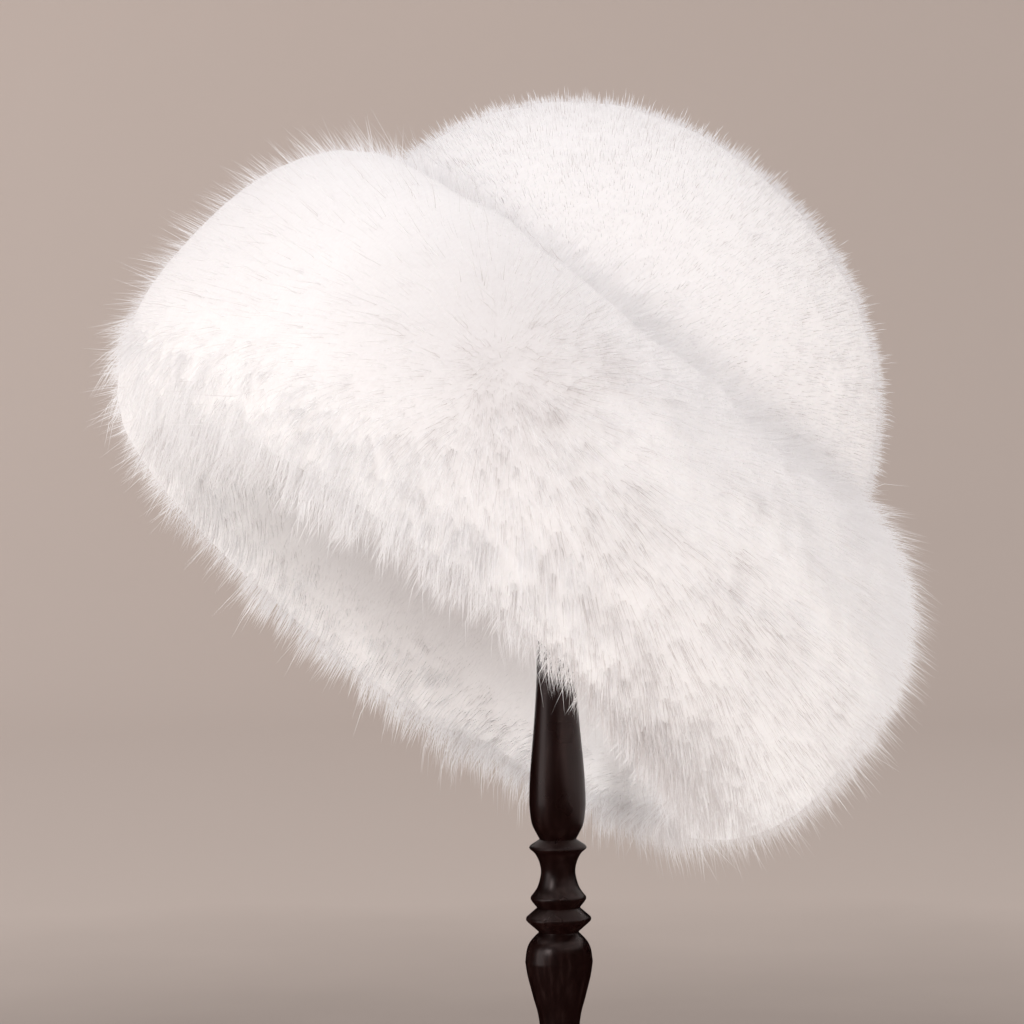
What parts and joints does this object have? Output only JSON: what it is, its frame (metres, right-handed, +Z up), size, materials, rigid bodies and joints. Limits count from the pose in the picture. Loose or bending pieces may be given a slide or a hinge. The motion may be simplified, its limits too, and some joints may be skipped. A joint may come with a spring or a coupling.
{
  "type": "fur hat with a deep brim on a turned wooden hat stand",
  "caption": "Round-crowned fur hat with a wide, deep fur brim, hung tilted on the dome of a turned wooden hat stand with a round foot.",
  "frame": {"origin": "middle of the flat underside of the stand's round foot, which rests on the surface", "axes": "+Z up along the stand's spindle, +X towards the hat's lowered side, -Y towards the side that the picture shows"},
  "size_m": [0.277, 0.2893, 0.4243],
  "materials": {
    "short_fur": "short dense white fur",
    "long_fur": "long soft white fur",
    "stained_wood": "dark stained and waxed, satin"
  },
  "bodies": {
    "root": {"crown": "short_fur", "brim": "long_fur", "stand_dome": "stained_wood", "stand_spindle": "stained_wood", "stand_base": "stained_wood"}
  },
  "joints": []
}
